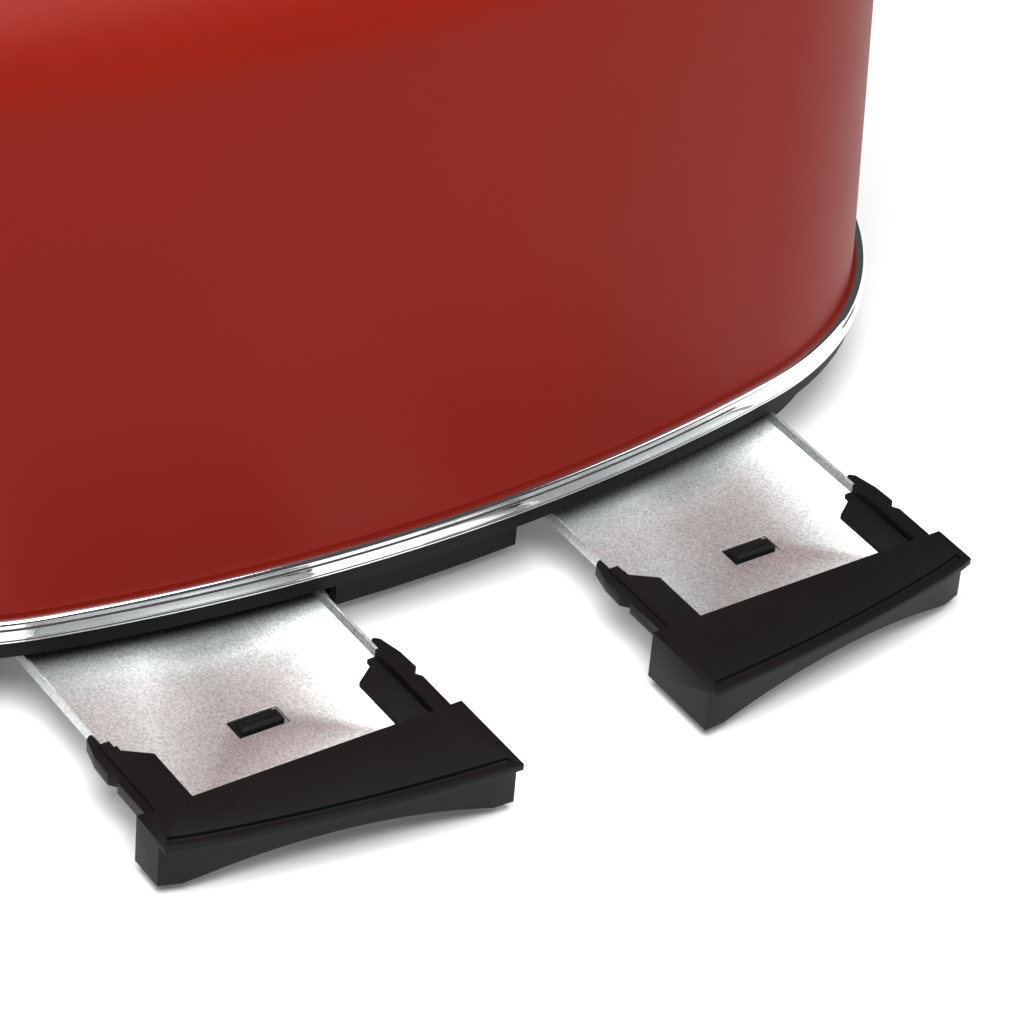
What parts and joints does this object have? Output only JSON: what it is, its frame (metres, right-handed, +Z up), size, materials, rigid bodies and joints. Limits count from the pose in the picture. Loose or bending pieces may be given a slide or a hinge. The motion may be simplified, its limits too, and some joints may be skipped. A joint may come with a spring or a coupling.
{
  "type": "pop up toaster",
  "caption": "Pop up toaster with an oval painted shell on a chrome ring and black base, slots in two pairs with levers and dials, and crumb trays that pull out behind.",
  "frame": {"origin": "on the floor, under the middle of the whole object's box with the crumb trays half drawn out", "axes": "+Z up; the levers and controls face -Y; the crumb trays slide out along +Y; +X is the user's right when facing the controls"},
  "size_m": [0.3698, 0.3638, 0.1916],
  "materials": {
    "black_gloss": "satin black moulding",
    "black_plastic": "fine textured black moulding",
    "brushed_trim": "brushed stainless plate",
    "chassis_steel": "plain zinc coated sheet and wire",
    "chrome": "mirror chrome",
    "circuit_board": "solder resist green",
    "copper_coil": "enamelled copper winding on a steel core",
    "galvanised_steel": "galvanised sheet with fine spangle",
    "heating_ribbon": "nickel chrome ribbon, oxidised",
    "mica": "mica sheet",
    "red_paint": "satin red paint on steel",
    "rubber": "matt",
    "white_nylon": "natural nylon",
    "zinc_steel": "zinc plated"
  },
  "bodies": {
    "housing": {"base_moulding": "black_plastic", "base_plate": "chassis_steel", "base_screws": "zinc_steel", "bread_guards_inner_left": "chassis_steel", "bread_guards_inner_right": "chassis_steel", "bread_guards_outer_left": "chassis_steel", "bread_guards_outer_right": "chassis_steel", "cable_gland": "black_plastic", "chamber_front_plate_left": "chassis_steel", "chamber_front_plate_right": "chassis_steel", "chamber_rear_plate_left": "chassis_steel", "chamber_rear_plate_right": "chassis_steel", "chrome_base_ring": "chrome", "control_board_left": "circuit_board", "control_board_right": "circuit_board", "control_panel": "brushed_trim", "electromagnet_left": "copper_coil", "electromagnet_right": "copper_coil", "guide_rod_left": "chassis_steel", "guide_rod_right": "chassis_steel", "heat_shield_inner_left": "chassis_steel", "heat_shield_inner_right": "chassis_steel", "heat_shield_outer_left": "chassis_steel", "heat_shield_outer_right": "chassis_steel", "heater_boards_left": "mica", "heater_boards_right": "mica", "heating_ribbon_left": "heating_ribbon", "heating_ribbon_right": "heating_ribbon", "lever_slot_bezel_left": "chrome", "lever_slot_bezel_right": "chrome", "lift_spring_left": "chassis_steel", "lift_spring_right": "chassis_steel", "outer_shell": "red_paint", "rubber_feet": "rubber", "slot_surround_left": "chrome", "slot_surround_right": "chrome", "terminal_block": "white_nylon", "tray_guides_left": "chassis_steel", "tray_guides_right": "chassis_steel"},
    "crumb_tray_left": {"crumb_tray_sheet_left": "galvanised_steel", "crumb_tray_handle_left": "black_plastic"},
    "carriage_left": {"carriage_left": "chassis_steel", "bread_rack_inner_left": "chassis_steel", "bread_rack_outer_left": "chassis_steel", "lever_knob_left": "black_plastic"},
    "browning_dial_left": {"browning_dial_left": "black_gloss"},
    "cancel_button_left": {"cancel_button_left": "black_gloss"},
    "reheat_button_left": {"reheat_button_left": "black_gloss"},
    "defrost_button_left": {"defrost_button_left": "black_gloss"},
    "crumb_tray_right": {"crumb_tray_sheet_right": "galvanised_steel", "crumb_tray_handle_right": "black_plastic"},
    "carriage_right": {"carriage_right": "chassis_steel", "bread_rack_inner_right": "chassis_steel", "bread_rack_outer_right": "chassis_steel", "lever_knob_right": "black_plastic"},
    "browning_dial_right": {"browning_dial_right": "black_gloss"},
    "cancel_button_right": {"cancel_button_right": "black_gloss"},
    "reheat_button_right": {"reheat_button_right": "black_gloss"},
    "defrost_button_right": {"defrost_button_right": "black_gloss"}
  },
  "joints": [
    {"name": "crumb_tray_slide_left", "type": "slide", "parent": "housing", "child": "crumb_tray_left", "axis": [0, 1, 0], "range_m": [-0.083, 0.14]},
    {"name": "carriage_slide_left", "type": "slide", "parent": "housing", "child": "carriage_left", "axis": [0, 0, 1], "range_m": [-0.048, 0], "stiffness_N_per_m": 90, "springref_m": 0.04, "deforming": ["lift_spring_left"]},
    {"name": "browning_dial_turn_left", "type": "hinge", "parent": "housing", "child": "browning_dial_left", "pos_m": [-0.0245, -0.16452, 0.07427], "axis": [0, -0.9986, 0.0523], "range_deg": [-150, 150]},
    {"name": "cancel_button_press_left", "type": "slide", "parent": "housing", "child": "cancel_button_left", "axis": [0, -0.9986, 0.0523], "range_m": [-0.0015, 0], "stiffness_N_per_m": 600, "springref_m": 0.0015},
    {"name": "reheat_button_press_left", "type": "slide", "parent": "housing", "child": "reheat_button_left", "axis": [0, -0.9986, 0.0523], "range_m": [-0.0015, 0], "stiffness_N_per_m": 600, "springref_m": 0.0015},
    {"name": "defrost_button_press_left", "type": "slide", "parent": "housing", "child": "defrost_button_left", "axis": [0, -0.9986, 0.0523], "range_m": [-0.0015, 0], "stiffness_N_per_m": 600, "springref_m": 0.0015},
    {"name": "crumb_tray_slide_right", "type": "slide", "parent": "housing", "child": "crumb_tray_right", "axis": [0, 1, 0], "range_m": [-0.083, 0.14]},
    {"name": "carriage_slide_right", "type": "slide", "parent": "housing", "child": "carriage_right", "axis": [0, 0, 1], "range_m": [-0.048, 0], "stiffness_N_per_m": 90, "springref_m": 0.04, "deforming": ["lift_spring_right"]},
    {"name": "browning_dial_turn_right", "type": "hinge", "parent": "housing", "child": "browning_dial_right", "pos_m": [0.0245, -0.16452, 0.07427], "axis": [0, -0.9986, 0.0523], "range_deg": [-150, 150]},
    {"name": "cancel_button_press_right", "type": "slide", "parent": "housing", "child": "cancel_button_right", "axis": [0, -0.9986, 0.0523], "range_m": [-0.0015, 0], "stiffness_N_per_m": 600, "springref_m": 0.0015},
    {"name": "reheat_button_press_right", "type": "slide", "parent": "housing", "child": "reheat_button_right", "axis": [0, -0.9986, 0.0523], "range_m": [-0.0015, 0], "stiffness_N_per_m": 600, "springref_m": 0.0015},
    {"name": "defrost_button_press_right", "type": "slide", "parent": "housing", "child": "defrost_button_right", "axis": [0, -0.9986, 0.0523], "range_m": [-0.0015, 0], "stiffness_N_per_m": 600, "springref_m": 0.0015}
  ]
}
